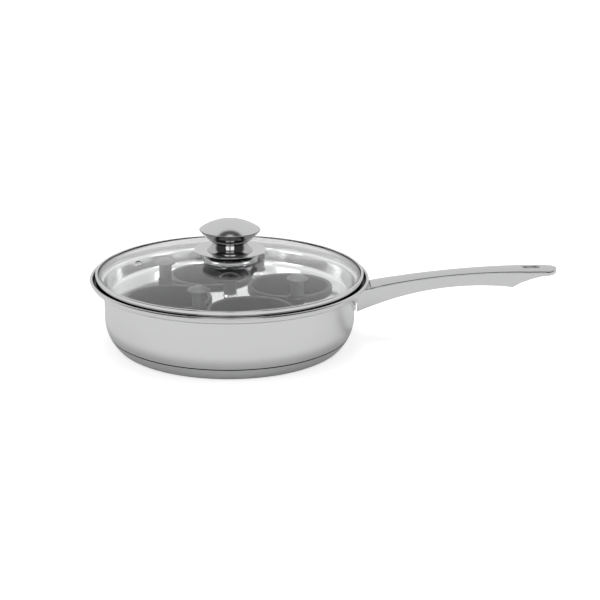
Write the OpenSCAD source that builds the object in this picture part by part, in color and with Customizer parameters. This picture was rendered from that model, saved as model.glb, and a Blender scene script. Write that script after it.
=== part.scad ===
// Egg poacher pan: a stainless pan, a drop-in tray with four lift-out cups, and a domed glass lid.
// Millimetres. The origin is where the pan's axis meets the table, +X runs along the handle, +Z is up.

/* [Pan] */
// Outer radius of the rolled rim
rim_r = 127; // [124:0.5:134]
// Height of the rim above the table
pan_h = 63; // [58:0.5:75]
// Thickness of the steel sheet of the pan
sheet_t = 1.2; // [1:0.1:1.4]
// Radius of the rounded lower wall
corner_r = 36; // [34:0.5:40]
// Height of the seam where the base cap ends
seam_z = 11.5; // [10.5:0.5:13]
// Thickness of the layered base under the pan floor
base_t = 6.7; // [6:0.1:7.5]
// Distance from the rim inwards to the outside of the wall
flare_w = 12.4; // [12:0.2:14]

/* [Handle] */
// Distance from the pan's axis to the handle's end
handle_end_x = 301.5; // [285:0.5:320]
// Half width of the handle at the pan
handle_root_w = 13; // [11:0.5:15]
// Half width at the waist
handle_waist_w = 10.2; // [9.5:0.1:12]
// Half width at the rounded end
handle_end_w = 12.6; // [12:0.1:14]
// Thickness of the handle's metal
handle_t = 2.4; // [2:0.1:3]
// Height of the top edge at its highest point
handle_top_z = 69; // [67:0.5:72]
// Length of the hanging slot
slot_len = 17; // [12:0.5:20]
// Width of the hanging slot
slot_w = 7.5; // [6:0.5:9]

/* [Tray] */
// Thickness of the tray's sheet
tray_t = 0.8; // [0.7:0.1:1]
// Depth of the tray floor below the pan rim
tray_drop = 20.5; // [18:0.5:24]
// Distance of each cup's axis from the pan's axis
cup_ring_r = 58.6; // [57:0.2:60]
// Angle of the first cup from the handle
cup_turn = 18.5; // [0:0.5:45]

/* [Cups] */
// Outer radius of a cup's rim
cup_r = 39.4; // [37:0.2:39.8]
// Width of the cup's flat rim
cup_lip_w = 4; // [3.6:0.1:5]
// Height of the cup's rim above the tray
cup_lip_h = 3.6; // [3:0.1:5]
// Depth of a cup
cup_depth = 27; // [22:0.5:30]
// Thickness of a cup's metal
cup_t = 1.2; // [1:0.1:1.5]
// Distance from the cup's axis to its knob
ear_reach = 46; // [45.5:0.1:47]
// Rise of the knob's ear above the cup's rim
ear_rise = 3.6; // [3:0.1:4.5]

/* [Small knobs] */
// Radius of a small knob's cap
small_cap_r = 9.8; // [9:0.1:10.5]
// Radius of a small knob's stem
small_stem_r = 5.9; // [5:0.1:6.2]
// Height of a small knob
small_knob_h = 18.6; // [16:0.2:20]

/* [Lid] */
// Outer radius of the lid's steel band
lid_r = 122; // [121:0.2:122.4]
// Thickness of the glass
glass_t = 4; // [3.5:0.1:4.5]
// Height of the glass dome from band to crown
dome_rise = 18.3; // [16:0.5:22]
// Height of the lid's band
band_h = 8.8; // [8.6:0.1:10]
// Distance of the steam vent from the lid's axis
vent_reach = 83.2; // [70:1:90]

/* [Lid knob] */
// Radius of the knob's cap
cap_r = 27.7; // [25:0.1:30]
// Height of the cap's dome
cap_rise = 9; // [7:0.5:11]
// Height of the cap's edge above the knob's foot
cap_lift = 19.6; // [18:0.2:22]
// Radius of the knob's foot
foot_r = 20.9; // [19:0.1:22]
// Radius of the knob's neck
neck_r = 15.8; // [15:0.1:16.5]
// Radius of the saucer under the knob
saucer_r = 32.4; // [30:0.2:35]

/* [Hidden] */
$fn = 96;

// Gap between curved faces that don't touch
gap = 0.3;
// Gap between faces that fit snugly inside one body
fit = 0.05;

// Pan
wall_r = rim_r - flare_w;
corner_z = 26;
corner_c = wall_r - corner_r;
ledge_z = pan_h - 5.5;
fold_in = 3;
fold_out = 2;
bead_r = 1.4;
riser_r = rim_r - 2.8;
cap_t = 1.2;

// Tray
tray_z = pan_h - tray_drop;
tray_lip_z = ledge_z + tray_t;
tray_fold = fold_in;
tray_wall_r = wall_r - sheet_t - gap;
tray_low_r = tray_wall_r - 1.3;
tray_corner = 4.8;
tray_hole_r = cup_r - cup_lip_w + 1.9;

// Cups
cup_z = tray_z + cup_lip_h;
cup_in_r = cup_r - cup_lip_w;
cup_foot_r = cup_in_r - 8;
cup_corner = 10;
ear_r = 7;
ear_z = cup_z + ear_rise;
ear_turn = -103;
screw_r = 2;

// Lid
band_z = tray_lip_z;
band_top = band_z + band_h;
band_t = 1;
glass_r = lid_r - band_t - 0.2;
edge_z = band_top - 0.9;
dome_w = glass_r - 2;
dome_r = (dome_w * dome_w + dome_rise * dome_rise) / (2 * dome_rise);
crown_z = edge_z + dome_rise;
dome_c = crown_z - dome_r;
vent_tilt = asin(vent_reach / dome_r);
vent_turn = 183;

// Lid knob
saucer_z = crown_z + 0.8;
foot_z = saucer_z + 0.7;
edge_of_cap = foot_z + cap_lift;
under_z = crown_z - glass_t;

function cup_angle(i) = cup_turn + 90 * i;

// Quarter of a ring in a profile, in the corner that sx and sy point to
module quarter(cx, cy, r_in, r_out, sx, sy) {
    intersection() {
        translate([cx, cy]) difference() {
            circle(r = r_out);
            circle(r = r_in);
        }
        translate([sx > 0 ? cx : cx - r_out, sy > 0 ? cy : cy - r_out])
            square(r_out);
    }
}

// Solid profile of the pan's rounded wall, grown inwards by inset, between two heights
module wall_profile(inset, z_low, z_high) {
    intersection() {
        union() {
            translate([corner_c, corner_z]) circle(r = corner_r - inset);
            translate([0, corner_z]) square([wall_r - inset, pan_h]);
            square([corner_c, corner_z + 1]);
        }
        translate([0, z_low]) square([wall_r, z_high - z_low]);
    }
}

// Steel vessel: floor, rounded wall, lid ledge, riser and rolled rim
module pan_body() {
    fold_z = ledge_z - sheet_t - fold_in;
    color("silver") rotate_extrude() {
        difference() {
            union() {
                wall_profile(0, seam_z, fold_z);
                wall_profile(cap_t + gap, base_t, seam_z + 0.1);
            }
            wall_profile(sheet_t, seam_z + 1.3, fold_z + 1);
            wall_profile(2 * sheet_t + gap, base_t + sheet_t, seam_z + 1.4);
        }
        quarter(wall_r + fold_in, fold_z, fold_in, fold_in + sheet_t, -1, 1);
        translate([wall_r + fold_in, ledge_z - sheet_t])
            square([riser_r - fold_out - wall_r - fold_in, sheet_t]);
        quarter(riser_r - fold_out, ledge_z + fold_out, fold_out, fold_out + sheet_t, 1, -1);
        translate([riser_r, ledge_z + fold_out])
            square([sheet_t, pan_h - bead_r - ledge_z - fold_out]);
        translate([rim_r - bead_r, pan_h - bead_r]) circle(r = bead_r);
    }
}

// Aluminium disc inside the base
module base_core() {
    color("lightgray") rotate_extrude()
        wall_profile(cap_t + fit, cap_t, base_t);
}

// Steel cap pressed over the aluminium disc, up to the seam
module base_cap() {
    color("silver") rotate_extrude() difference() {
        wall_profile(0, 0, seam_z - 0.5);
        wall_profile(cap_t, cap_t, seam_z);
    }
}

// Shield-shaped plate that carries the handle on the wall
module handle_bracket() {
    top_z = ledge_z - sheet_t - fold_in;
    color("silver") intersection() {
        difference() {
            cylinder(h = pan_h, r = wall_r + 1.3);
            translate([0, 0, -1]) cylinder(h = pan_h + 2, r = wall_r + fit);
        }
        rotate([90, 0, 90]) linear_extrude(height = rim_r) union() {
            polygon([[-36, top_z], [-34, top_z - 5], [-20, top_z - 14], [-20, 34],
                [20, 34], [20, top_z - 14], [34, top_z - 5], [36, top_z]]);
            intersection() {
                translate([0, 49]) circle(r = 20);
                translate([-20, 28]) square([40, 8]);
            }
        }
    }
}

// Plan of the handle, narrowed all round by inset and ending at x_end
module handle_plan(inset, x_start, x_end, half_end) {
    waist_x = 205;
    waist_r = 1000;
    $fn = 1440;
    difference() {
        intersection() {
            union() {
                translate([x_start, -half_end]) square([x_end - half_end - x_start, 2 * half_end]);
                translate([x_end - half_end, 0]) circle(r = half_end);
                translate([x_start, -handle_root_w + inset])
                    square([60, 2 * (handle_root_w - inset)]);
            }
            translate([x_start, -handle_root_w + inset])
                square([x_end, 2 * (handle_root_w - inset)]);
        }
        for (s = [-1, 1])
            translate([waist_x, s * (handle_waist_w - inset + waist_r)]) circle(r = waist_r);
    }
}

// Side view of the handle, lowered by drop under its arched top
module handle_side(drop, x_start) {
    top_r = 840;
    top_x = 285;
    belly_r = 290;
    belly_x = 232;
    belly_z = 54.3;
    $fn = 1440;
    difference() {
        intersection() {
            translate([top_x, handle_top_z - drop - top_r]) circle(r = top_r);
            translate([x_start, 28.5]) square([handle_end_x - x_start, 60]);
        }
        translate([belly_x, belly_z - belly_r]) circle(r = belly_r);
        polygon([[259, 0], [259, 52.5], [267, 57.2], [276, 60.8], [286, 63.4],
            [handle_end_x + 1, 64.4], [handle_end_x + 1, 0]]);
    }
}

// Crown across the handle's top: a ring whose tube rounds the arch
module handle_crown() {
    top_r = 840;
    crown_r = 60;
    translate([285, 0, handle_top_z - top_r]) rotate([90, 0, 0])
        rotate_extrude($fn = 1440) translate([top_r - crown_r, 0]) circle(r = crown_r, $fn = 360);
}

// Channel-section handle, open underneath, with a hanging slot
module handle() {
    slot_x = handle_end_x - 24;
    color("silver") difference() {
        intersection() {
            linear_extrude(height = 90)
                handle_plan(0, wall_r - 6, handle_end_x, handle_end_w);
            rotate([90, 0, 0]) translate([0, 0, -20]) linear_extrude(height = 40)
                handle_side(0, wall_r - 6);
            handle_crown();
        }
        intersection() {
            linear_extrude(height = 90)
                handle_plan(handle_t, wall_r - 7, handle_end_x - 24, handle_end_w - handle_t);
            rotate([90, 0, 0]) translate([0, 0, -20]) linear_extrude(height = 40) union() {
                intersection() {
                    translate([285, handle_top_z - 3.2 - 840]) circle(r = 840, $fn = 1440);
                    translate([wall_r - 7, 0]) square([handle_end_x - wall_r, 90]);
                }
                translate([wall_r - 7, 30]) square([rim_r + 2 - wall_r + 7, 60]);
            }
        }
        cylinder(h = 120, r = wall_r + 1.3 + fit);
        translate([0, 0, ledge_z - sheet_t - fold_in - 1]) cylinder(h = 30, r = rim_r + 1.2);
        hull() for (x = [-1, 1])
            translate([slot_x + x * (slot_len - slot_w) / 2, 0, 40])
                cylinder(h = 50, r = slot_w / 2, $fn = 32);
    }
}

// Tray: floor with four cup holes, upstand and a lip that hangs on the ledge
module tray() {
    fold_r = tray_wall_r + tray_fold;
    fold_z = ledge_z - tray_fold;
    low_z = tray_z - tray_t + tray_corner;
    color("gainsboro") difference() {
        rotate_extrude() {
            translate([fold_r, ledge_z]) square([lid_r - 1 - fold_r, tray_t]);
            quarter(fold_r, fold_z, tray_fold, tray_fold + tray_t, -1, 1);
            polygon([[tray_wall_r, fold_z], [tray_wall_r - tray_t, fold_z],
                [tray_low_r - tray_t, low_z], [tray_low_r, low_z]]);
            quarter(tray_low_r - tray_corner, low_z, tray_corner - tray_t, tray_corner, 1, -1);
            translate([0, tray_z - tray_t]) square([tray_low_r - tray_corner, tray_t]);
        }
        for (i = [0:3]) rotate(cup_angle(i)) translate([cup_ring_r, 0, 0])
            cylinder(h = pan_h, r = tray_hole_r);
        cylinder(h = pan_h, r = screw_r + fit);
    }
}

// One non-stick cup with its rim turned down to stand on the tray
module cup_shell() {
    foot_z = cup_z - cup_depth;
    wall_c = cup_in_r - cup_corner;
    difference() {
        rotate_extrude() difference() {
            union() {
                translate([0, tray_z]) square([cup_r, cup_z - tray_z]);
                translate([0, foot_z + cup_corner])
                    square([cup_in_r + cup_t, cup_z - foot_z - cup_corner]);
                intersection() {
                    translate([wall_c, foot_z + cup_corner]) circle(r = cup_corner + cup_t);
                    translate([0, foot_z - cup_t]) square([cup_r, cup_corner + cup_t]);
                }
                translate([0, foot_z - cup_t]) square([wall_c, cup_corner + cup_t]);
            }
            translate([0, foot_z + cup_corner]) square([cup_in_r, cup_depth]);
            intersection() {
                translate([wall_c, foot_z + cup_corner]) circle(r = cup_corner);
                translate([0, foot_z]) square([cup_r, cup_corner + 1]);
            }
            translate([0, foot_z]) square([wall_c, cup_corner + 1]);
            translate([cup_in_r + cup_t, 0]) square([cup_lip_w - 2 * cup_t, cup_z - cup_t]);
        }
    }
}

// Raised ear that carries the cup's knob, in the cup's frame with the ear along +X
module cup_ear() {
    difference() {
        intersection() {
            rotate([90, 0, 0]) translate([0, 0, -ear_r]) linear_extrude(height = 2 * ear_r)
                polygon([[cup_r - 0.7, cup_z - 0.3], [cup_r - 0.7, cup_z - cup_t - 0.5],
                    [cup_r + 0.6, cup_z - cup_t - 0.5], [cup_r + 2, ear_z - cup_t],
                    [ear_reach + ear_r, ear_z - cup_t], [ear_reach + ear_r, ear_z],
                    [cup_r + 0.6, ear_z]]);
            linear_extrude(height = pan_h) union() {
                translate([cup_r - 1, -ear_r]) square([ear_reach - cup_r + 1, 2 * ear_r]);
                translate([ear_reach, 0]) circle(r = ear_r);
            }
        }
        translate([ear_reach, 0, 0]) cylinder(h = pan_h, r = screw_r + fit);
    }
}

module cup(i) {
    color("dimgray") place_cup(i) {
        cup_shell();
        rotate(ear_turn) cup_ear();
    }
}

// Puts its children in the frame of one cup
module place_cup(i) {
    rotate(cup_angle(i)) translate([cup_ring_r, 0, 0]) children();
}

// Mushroom knob with a blind hole for its screw, standing at height z
module small_knob(z) {
    rim_z = small_knob_h - 3.4;
    crown_r = (small_cap_r * small_cap_r + 3.4 * 3.4) / (2 * 3.4);
    translate([0, 0, z]) difference() {
        union() {
            cylinder(h = rim_z, r = small_stem_r);
            translate([0, 0, rim_z - 2.2]) cylinder(h = 1.2, r1 = small_stem_r, r2 = small_cap_r);
            translate([0, 0, rim_z - 1]) cylinder(h = 1, r = small_cap_r);
            intersection() {
                translate([0, 0, small_knob_h - crown_r]) sphere(r = crown_r);
                translate([0, 0, rim_z]) cylinder(h = 4, r = small_cap_r);
            }
        }
        translate([0, 0, -1]) cylinder(h = 11, r = screw_r + fit);
    }
}

// Screw that comes up through the sheet into a knob: seat is the underside it bears on
module small_screw(seat) {
    translate([0, 0, seat - 1.6]) cylinder(h = 1.6, r = 3.6);
    translate([0, 0, seat - 0.1]) cylinder(h = 10.5, r = screw_r);
}

module tray_knob() {
    color("dimgray") small_knob(tray_z + 1.2);
}

module tray_knob_screw() {
    color("silver") small_screw(tray_z - tray_t);
}

module tray_knob_washer() {
    color("silver") difference() {
        translate([0, 0, tray_z]) cylinder(h = 1.2, r = small_stem_r + 1.1);
        cylinder(h = pan_h, r = screw_r + fit);
    }
}

module cup_knob(i) {
    color("dimgray") place_cup(i) rotate(ear_turn) translate([ear_reach, 0, 0])
        small_knob(ear_z);
}

module cup_screw(i) {
    color("silver") place_cup(i) rotate(ear_turn) translate([ear_reach, 0, 0])
        small_screw(ear_z - cup_t);
}

// Puts its children on the glass at the vent, with +Z along the glass's own normal
module at_vent() {
    translate([0, 0, dome_c]) rotate([0, 0, vent_turn]) rotate([0, vent_tilt, 0]) children();
}

// Domed glass disc with a hole for the knob's screw and one for the vent
module lid_glass() {
    color("lightcyan") difference() {
        intersection() {
            translate([0, 0, dome_c]) difference() {
                sphere(r = dome_r, $fn = 360);
                sphere(r = dome_r - glass_t, $fn = 360);
            }
            translate([0, 0, band_z]) cylinder(h = 60, r = glass_r);
        }
        translate([0, 0, band_z]) cylinder(h = 60, r = 4.5);
        at_vent() translate([0, 0, dome_r - 10]) cylinder(h = 20, r = 3.4);
    }
}

// Steel band around the glass: a foot that sits on the tray's lip, a wall and a top lip
module lid_band() {
    color("silver") rotate_extrude() {
        translate([lid_r - 6, band_z]) square([6, band_t]);
        translate([lid_r - band_t, band_z]) square([band_t, band_h]);
        translate([lid_r - 2.2, band_top - 0.8]) square([2.2, 0.8]);
    }
}

// Soft seal between the band and the glass
module lid_gasket() {
    color("dimgray") intersection() {
        rotate_extrude()
            translate([lid_r - 5.6, band_z + band_t]) square([4.6 - fit, 5]);
        translate([0, 0, dome_c]) sphere(r = dome_r - glass_t - fit, $fn = 360);
    }
}

// Steam vent: a steel eyelet clenched on both faces of the glass
module vent_eyelet() {
    color("silver") at_vent() translate([0, 0, dome_r]) difference() {
        union() {
            translate([0, 0, fit]) cylinder(h = 0.8, r = 4.7);
            translate([0, 0, -glass_t - 0.8]) cylinder(h = glass_t + 1, r = 3.3);
            translate([0, 0, -glass_t - 0.8]) cylinder(h = 0.7, r = 4.7);
        }
        translate([0, 0, -glass_t - 2]) cylinder(h = glass_t + 4, r = 2.3);
    }
}

// Domed top shell of the lid's knob
module knob_cap() {
    crown_r = (cap_r * cap_r + cap_rise * cap_rise) / (2 * cap_rise);
    color("silver") difference() {
        intersection() {
            translate([0, 0, edge_of_cap + cap_rise - crown_r]) sphere(r = crown_r, $fn = 180);
            translate([0, 0, edge_of_cap]) cylinder(h = cap_rise + 1, r = cap_r);
        }
        translate([0, 0, edge_of_cap + cap_rise - crown_r]) sphere(r = crown_r - 1.2, $fn = 180);
    }
}

// Lower bowl of the knob, from the cap's edge in to the neck, with the boss for the screw
module knob_bowl() {
    neck_z = foot_z + 7.4;
    color("silver") difference() {
        rotate_extrude() polygon([[0, neck_z], [neck_r, neck_z], [neck_r + 3.2, neck_z + 2.6],
            [cap_r - 3.4, edge_of_cap - 4.6], [cap_r - 0.6, edge_of_cap - 1.2],
            [cap_r, edge_of_cap - fit], [0, edge_of_cap - fit]]);
        translate([0, 0, neck_z + 6]) cylinder(h = 20, r1 = neck_r, r2 = cap_r + 8);
        cylinder(h = 200, r = 3 + fit);
    }
}

// Flared foot of the knob with a concave side
module knob_foot() {
    neck_z = foot_z + 7.4;
    color("silver") rotate_extrude() difference() {
        translate([3 + fit, foot_z]) square([foot_r - 3 - fit, neck_z - foot_z]);
        translate([neck_r + 11.2, neck_z + 2.6]) circle(r = 11.4);
        translate([3, foot_z - 1]) square([foot_r - 6, 3]);
    }
}

// Thin dished disc between the knob's foot and the glass
module knob_saucer() {
    color("silver") rotate_extrude() {
        polygon([[3.1, saucer_z], [foot_r, saucer_z], [saucer_r, saucer_z + 1],
            [saucer_r, saucer_z + 1.7], [foot_r, saucer_z + 0.7], [3.1, saucer_z + 0.7]]);
    }
}

// Soft washers above and below the glass
module knob_upper_gasket() {
    color("dimgray") translate([0, 0, crown_z]) difference() {
        cylinder(h = saucer_z - crown_z, r = 16);
        translate([0, 0, -1]) cylinder(h = 4, r = 3.2);
    }
}

module knob_lower_gasket() {
    color("dimgray") translate([0, 0, under_z - 1.2]) difference() {
        cylinder(h = 0.85, r = 16);
        translate([0, 0, -1]) cylinder(h = 4, r = 3.2);
    }
}

// Chrome backplate under the glass with a recess for the screw's head
module knob_backplate() {
    top_z = under_z - 1.2;
    color("silver") difference() {
        rotate_extrude() {
            translate([3.2, top_z - 8]) square([17.8, 8]);
            translate([21, top_z - 4]) circle(r = 4);
        }
        translate([0, 0, top_z - 9]) cylinder(h = 4, r = 9);
    }
}

module knob_screw() {
    seat = under_z - 6.2;
    color("silver") {
        translate([0, 0, seat - 3]) cylinder(h = 3, r = 6);
        translate([0, 0, seat - 0.1]) cylinder(h = foot_z + 13 - seat, r = 3);
    }
}

module cup_1() { cup(0); }
module cup_2() { cup(1); }
module cup_3() { cup(2); }
module cup_4() { cup(3); }
module cup_knob_1() { cup_knob(0); }
module cup_knob_2() { cup_knob(1); }
module cup_knob_3() { cup_knob(2); }
module cup_knob_4() { cup_knob(3); }
module cup_screw_1() { cup_screw(0); }
module cup_screw_2() { cup_screw(1); }
module cup_screw_3() { cup_screw(2); }
module cup_screw_4() { cup_screw(3); }

pan_body();
base_core();
base_cap();
handle_bracket();
handle();
tray();
tray_knob();
tray_knob_screw();
tray_knob_washer();
cup_1();
cup_2();
cup_3();
cup_4();
cup_knob_1();
cup_knob_2();
cup_knob_3();
cup_knob_4();
cup_screw_1();
cup_screw_2();
cup_screw_3();
cup_screw_4();
lid_glass();
lid_band();
lid_gasket();
vent_eyelet();
knob_cap();
knob_bowl();
knob_foot();
knob_saucer();
knob_upper_gasket();
knob_lower_gasket();
knob_backplate();
knob_screw();
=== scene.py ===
# %% [markdown]
# An egg poacher is a stainless pan with three things stacked in it: a tray that hangs on the pan's ledge,
# four cups that stand in the tray's holes, and a glass lid. The imported model gives every piece its place,
# so it is loaded first.

# %% Load the frame
from math import acos, asin, cos, degrees, pi, radians, sin, sqrt

import bmesh
import bpy
from mathutils import Matrix, Vector


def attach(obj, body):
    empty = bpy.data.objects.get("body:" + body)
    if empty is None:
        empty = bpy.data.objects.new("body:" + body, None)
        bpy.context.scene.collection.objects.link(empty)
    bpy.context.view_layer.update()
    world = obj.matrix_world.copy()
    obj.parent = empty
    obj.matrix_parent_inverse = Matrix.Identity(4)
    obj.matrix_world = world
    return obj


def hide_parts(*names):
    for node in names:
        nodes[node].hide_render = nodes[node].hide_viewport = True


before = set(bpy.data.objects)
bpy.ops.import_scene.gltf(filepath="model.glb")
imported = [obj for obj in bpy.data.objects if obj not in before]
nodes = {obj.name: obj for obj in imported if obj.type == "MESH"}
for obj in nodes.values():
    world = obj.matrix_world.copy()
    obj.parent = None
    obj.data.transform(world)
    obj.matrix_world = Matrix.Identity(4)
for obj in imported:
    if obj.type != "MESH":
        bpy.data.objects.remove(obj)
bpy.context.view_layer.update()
MM = 0.001

# %% [markdown]
# The camera stands about 1.2 m away and looks down at 18 degrees, turned a little to the right, as a product
# photographer's does. A 78 mm lens keeps the rim's ellipse and the base's ellipse in the right proportion.
# It is set by its three directions, because a small roll is easier to give that way than with angles.

# %% Camera
CAMERA_PLACE = Vector((0.0, -1.1413, 0.4060))
YAW, PITCH, ROLL = radians(3.23), radians(17.86), radians(0.78)
LENS, SENSOR = 78.0, 36.0


def add_camera():
    ahead = Vector((sin(YAW) * cos(PITCH), cos(YAW) * cos(PITCH), -sin(PITCH)))
    level = Vector((cos(YAW), -sin(YAW), 0.0))
    upright = level.cross(ahead)
    right = level * cos(ROLL) + upright * sin(ROLL)
    up = upright * cos(ROLL) - level * sin(ROLL)
    data = bpy.data.cameras.new("camera")
    data.lens = LENS
    data.sensor_width = SENSOR
    data.clip_start = 0.05
    data.clip_end = 50.0
    camera = bpy.data.objects.new("camera", data)
    bpy.context.scene.collection.objects.link(camera)
    camera.matrix_world = Matrix((
        (right.x, up.x, -ahead.x, CAMERA_PLACE.x),
        (right.y, up.y, -ahead.y, CAMERA_PLACE.y),
        (right.z, up.z, -ahead.z, CAMERA_PLACE.z),
        (0, 0, 0, 1)))
    bpy.context.scene.camera = camera
    return camera


print("camera", [round(v, 3) for v in add_camera().location])

# %% [markdown]
# Most pieces here are turned: their shape is one profile taken round the pan's axis. A profile is a list of
# corners, each with the radius that rounds it, so that every edge catches a thin line of light as pressed
# or polished metal does. Blender's Spin tool would do this too, but writing the rings directly keeps the
# poles closed and the faces pointing outwards.

# %% Profiles
SHARP = 32.0


def round_corners(corners, steps=4):
    """Corners are (r, z) or (r, z, rounding); returns the closed outline with each corner rounded."""
    outline = []
    count = len(corners)
    for i, corner in enumerate(corners):
        here = Vector(corner[:2])
        rounding = corner[2] if len(corner) > 2 else 0.0
        before = Vector(corners[i - 1][:2]) - here
        after = Vector(corners[(i + 1) % count][:2]) - here
        if rounding <= 0 or before.length < 1e-6 or after.length < 1e-6:
            outline.append(here)
            continue
        a, b = before.normalized(), after.normalized()
        opening = acos(max(-1.0, min(1.0, a.dot(b))))
        if opening > 3.10 or opening < 0.02:
            outline.append(here)
            continue
        setback = min(rounding / max(1e-6, sin(opening / 2) / cos(opening / 2)),
                      0.48 * before.length, 0.48 * after.length)
        start, end = here + a * setback, here + b * setback
        for k in range(steps + 1):
            t = k / steps
            outline.append(start * (1 - t) ** 2 + here * 2 * t * (1 - t) + end * t * t)
    return outline


def arc(cx, cz, r, start, end, steps):
    """Points on an arc from start to end degrees."""
    points = []
    for k in range(steps + 1):
        turn = radians(start + (end - start) * k / steps)
        points.append((cx + r * cos(turn), cz + r * sin(turn)))
    return points


def as_object(name, bm):
    """Puts a finished mesh into the scene, at the origin."""
    mesh = bpy.data.meshes.new(name)
    bm.to_mesh(mesh)
    bm.free()
    obj = bpy.data.objects.new(name, mesh)
    bpy.context.scene.collection.objects.link(obj)
    return obj


def finish_mesh(mesh):
    """Smooth shading, except over edges that are really sharp."""
    mesh.shade_smooth()
    mesh.set_sharp_from_angle(angle=radians(SHARP))
    mesh.update()


def turned(name, corners, segments=192):
    """A solid of revolution from a closed profile in mm."""
    outline = round_corners(corners)
    area = sum(p.x * q.y - q.x * p.y for p, q in zip(outline, outline[1:] + outline[:1]))
    if area < 0:
        outline.reverse()
    bm = bmesh.new()
    rings = []
    for p in outline:
        if abs(p.x) < 1e-5:
            rings.append([bm.verts.new((0, 0, p.y * MM))])
            continue
        rings.append([bm.verts.new((p.x * MM * cos(2 * pi * k / segments),
                                    p.x * MM * sin(2 * pi * k / segments), p.y * MM))
                      for k in range(segments)])
    for i, low in enumerate(rings):
        high = rings[(i + 1) % len(rings)]
        if len(low) == 1 and len(high) == 1:
            continue
        for k in range(segments):
            n = (k + 1) % segments
            if len(low) == 1:
                bm.faces.new((low[0], high[n], high[k]))
            elif len(high) == 1:
                bm.faces.new((low[k], low[n], high[0]))
            else:
                bm.faces.new((low[k], low[n], high[n], high[k]))
    bmesh.ops.remove_doubles(bm, verts=bm.verts, dist=1e-7)
    obj = as_object(name, bm)
    finish_mesh(obj.data)
    return obj


print("edges over", SHARP, "degrees stay sharp")

# %% [markdown]
# Holes and joined pieces are made with booleans, because a vent or a hanging slot doesn't follow a profile.
# A cutter is a plain solid that is thrown away once its modifier has been applied.

# %% Cutters
def prism(name, low_ring, high_ring):
    """A solid between two rings of points in mm that match one for one."""
    bm = bmesh.new()
    low = [bm.verts.new((x * MM, y * MM, z * MM)) for x, y, z in low_ring]
    high = [bm.verts.new((x * MM, y * MM, z * MM)) for x, y, z in high_ring]
    for k in range(len(low)):
        n = (k + 1) % len(low)
        bm.faces.new((low[k], low[n], high[n], high[k]))
    bm.faces.new(low[::-1])
    bm.faces.new(high)
    bmesh.ops.recalc_face_normals(bm, faces=bm.faces)
    return as_object(name, bm)


def block(name, low, high):
    """A box between two corners in mm."""
    bm = bmesh.new()
    bmesh.ops.create_cube(bm, size=1.0)
    for v in bm.verts:
        v.co = Vector([(a + b) / 2 * MM + c * (b - a) * MM for a, b, c in zip(low, high, v.co)])
    return as_object(name, bm)


def cylinder_between(name, r, z_low, z_high, x=0.0, y=0.0, segments=96):
    """An upright cylinder, moved aside by x and y."""
    cutter = turned(name, [(0, z_low), (r, z_low), (r, z_high), (0, z_high)], segments)
    for v in cutter.data.vertices:
        v.co.x += x * MM
        v.co.y += y * MM
    return cutter


def apply_modifiers(obj):
    bpy.context.view_layer.update()
    evaluated = obj.evaluated_get(bpy.context.evaluated_depsgraph_get())
    mesh = bpy.data.meshes.new_from_object(evaluated)
    obj.modifiers.clear()
    old = obj.data
    obj.data = mesh
    bpy.data.meshes.remove(old)
    mesh.name = obj.name


def cut(obj, cutters, operation="DIFFERENCE"):
    """Boolean with each cutter, applied to the mesh."""
    for cutter in cutters:
        step = obj.modifiers.new("cut", "BOOLEAN")
        step.operation = operation
        step.solver = "EXACT"
        step.object = cutter
        apply_modifiers(obj)
        bpy.data.objects.remove(cutter, do_unlink=True)
    finish_mesh(obj.data)
    return obj


# %% [markdown]
# Materials are sums of a few nodes, so these helpers write them short: one sets a socket or links it, one
# does arithmetic, one draws noise and one mixes two colours. They only save typing. Every node that they
# add can be seen in the material's own tree.

# %% Node helpers
def put(tree, value, socket):
    """Sets a socket to a plain number, or links it to another socket."""
    if isinstance(value, (int, float)):
        socket.default_value = value
    else:
        tree.links.new(value, socket)


def number_maker(tree):
    """Returns number("ADD", a, b), which adds a Math node to this tree and gives its result."""
    def number(operation, *values):
        node = tree.nodes.new("ShaderNodeMath")
        node.operation = operation
        for value, socket in zip(values, node.inputs):
            put(tree, value, socket)
        return node.outputs[0]
    return number


def noise(tree, where, scale, detail=2.0):
    """A noise texture's value at the given coordinates."""
    node = tree.nodes.new("ShaderNodeTexNoise")
    node.inputs["Detail"].default_value = detail
    put(tree, scale, node.inputs["Scale"])
    tree.links.new(where, node.inputs["Vector"])
    return node.outputs["Fac"]


def mix_colours(tree, mask, first, second):
    """The first colour where the mask is 0, the second where it is 1."""
    node = tree.nodes.new("ShaderNodeMix")
    node.data_type = "RGBA"
    tree.links.new(mask, node.inputs["Factor"])
    for label, colour in (("A", first), ("B", second)):
        if isinstance(colour, tuple):
            node.inputs[label].default_value = (*colour, 1)
        else:
            tree.links.new(colour, node.inputs[label])
    return node.outputs["Result"]


def group_with(name, inputs, outputs):
    """An empty node group with named number sockets; returns it with its two end nodes."""
    tree = bpy.data.node_groups.new(name, "ShaderNodeTree")
    for label, default in inputs:
        socket = tree.interface.new_socket(name=label, in_out="INPUT", socket_type="NodeSocketFloat")
        socket.default_value = default
    for label in outputs:
        tree.interface.new_socket(name=label, in_out="OUTPUT", socket_type="NodeSocketFloat")
    return tree, tree.nodes.new("NodeGroupInput").outputs, tree.nodes.new("NodeGroupOutput").inputs


def round_the_axis(tree):
    """Object coordinates, their X, Y and Z, and the distance to the pan's axis."""
    place = tree.nodes.new("ShaderNodeTexCoord").outputs["Object"]
    split = tree.nodes.new("ShaderNodeSeparateXYZ")
    tree.links.new(place, split.inputs[0])
    flat = tree.nodes.new("ShaderNodeCombineXYZ")
    tree.links.new(split.outputs["X"], flat.inputs["X"])
    tree.links.new(split.outputs["Y"], flat.inputs["Y"])
    reach = tree.nodes.new("ShaderNodeVectorMath")
    reach.operation = "LENGTH"
    tree.links.new(flat.outputs[0], reach.inputs[0])
    return place, split.outputs, reach.outputs["Value"]


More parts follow.
